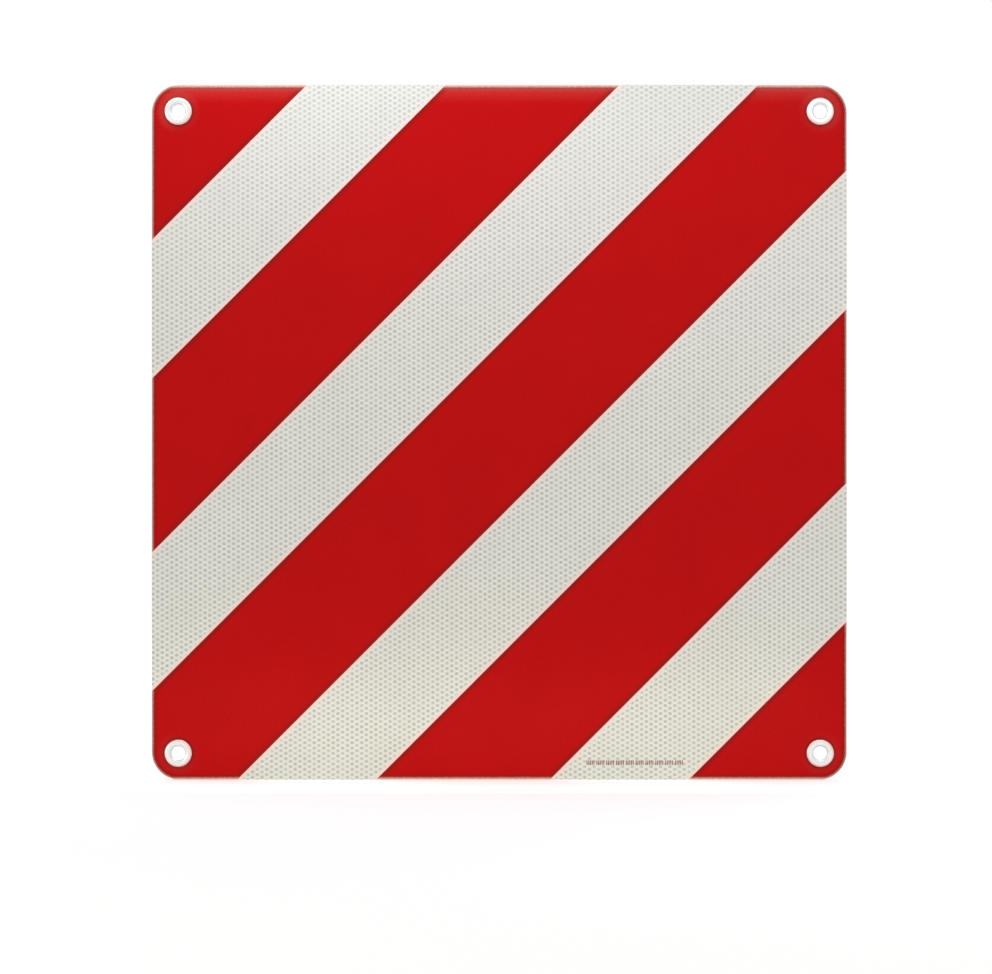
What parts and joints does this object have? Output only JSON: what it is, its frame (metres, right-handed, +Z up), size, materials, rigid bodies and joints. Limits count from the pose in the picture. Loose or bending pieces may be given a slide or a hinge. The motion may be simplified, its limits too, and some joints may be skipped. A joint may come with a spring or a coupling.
{
  "type": "overhanging load sign",
  "caption": "Square warning sign that is tied to a load overhanging the back of a vehicle: aluminium plate faced with diagonal red and white reflective film, with an eyelet in each corner.",
  "frame": {"origin": "centre of the plate's back face", "axes": "+Z up the sign, -Y the way the striped face looks, +X to the right as seen from the front"},
  "size_m": [0.5, 0.0051, 0.5],
  "materials": {
    "mill_aluminium": "bare rolled sheet, fine grain one way",
    "red_film": "smooth red reflective film, semi-gloss",
    "white_film": "white reflective film with a fine honeycomb of pale cell walls, semi-gloss",
    "bright_metal": "bright pressed metal"
  },
  "bodies": {
    "root": {"backing_plate": "mill_aluminium", "red_strip_upper_2": "red_film", "white_strip_upper_2": "white_film", "red_strip_upper_1": "red_film", "white_strip_upper_1": "white_film", "red_strip_middle": "red_film", "white_strip_lower_1": "white_film", "red_strip_lower_1": "red_film", "white_strip_lower_2": "white_film", "red_strip_lower_2": "red_film", "eyelet_top_left": "bright_metal", "eyelet_top_right": "bright_metal", "eyelet_bottom_right": "bright_metal", "eyelet_bottom_left": "bright_metal", "washer_top_left": "bright_metal", "washer_top_right": "bright_metal", "washer_bottom_right": "bright_metal", "washer_bottom_left": "bright_metal"}
  },
  "joints": []
}
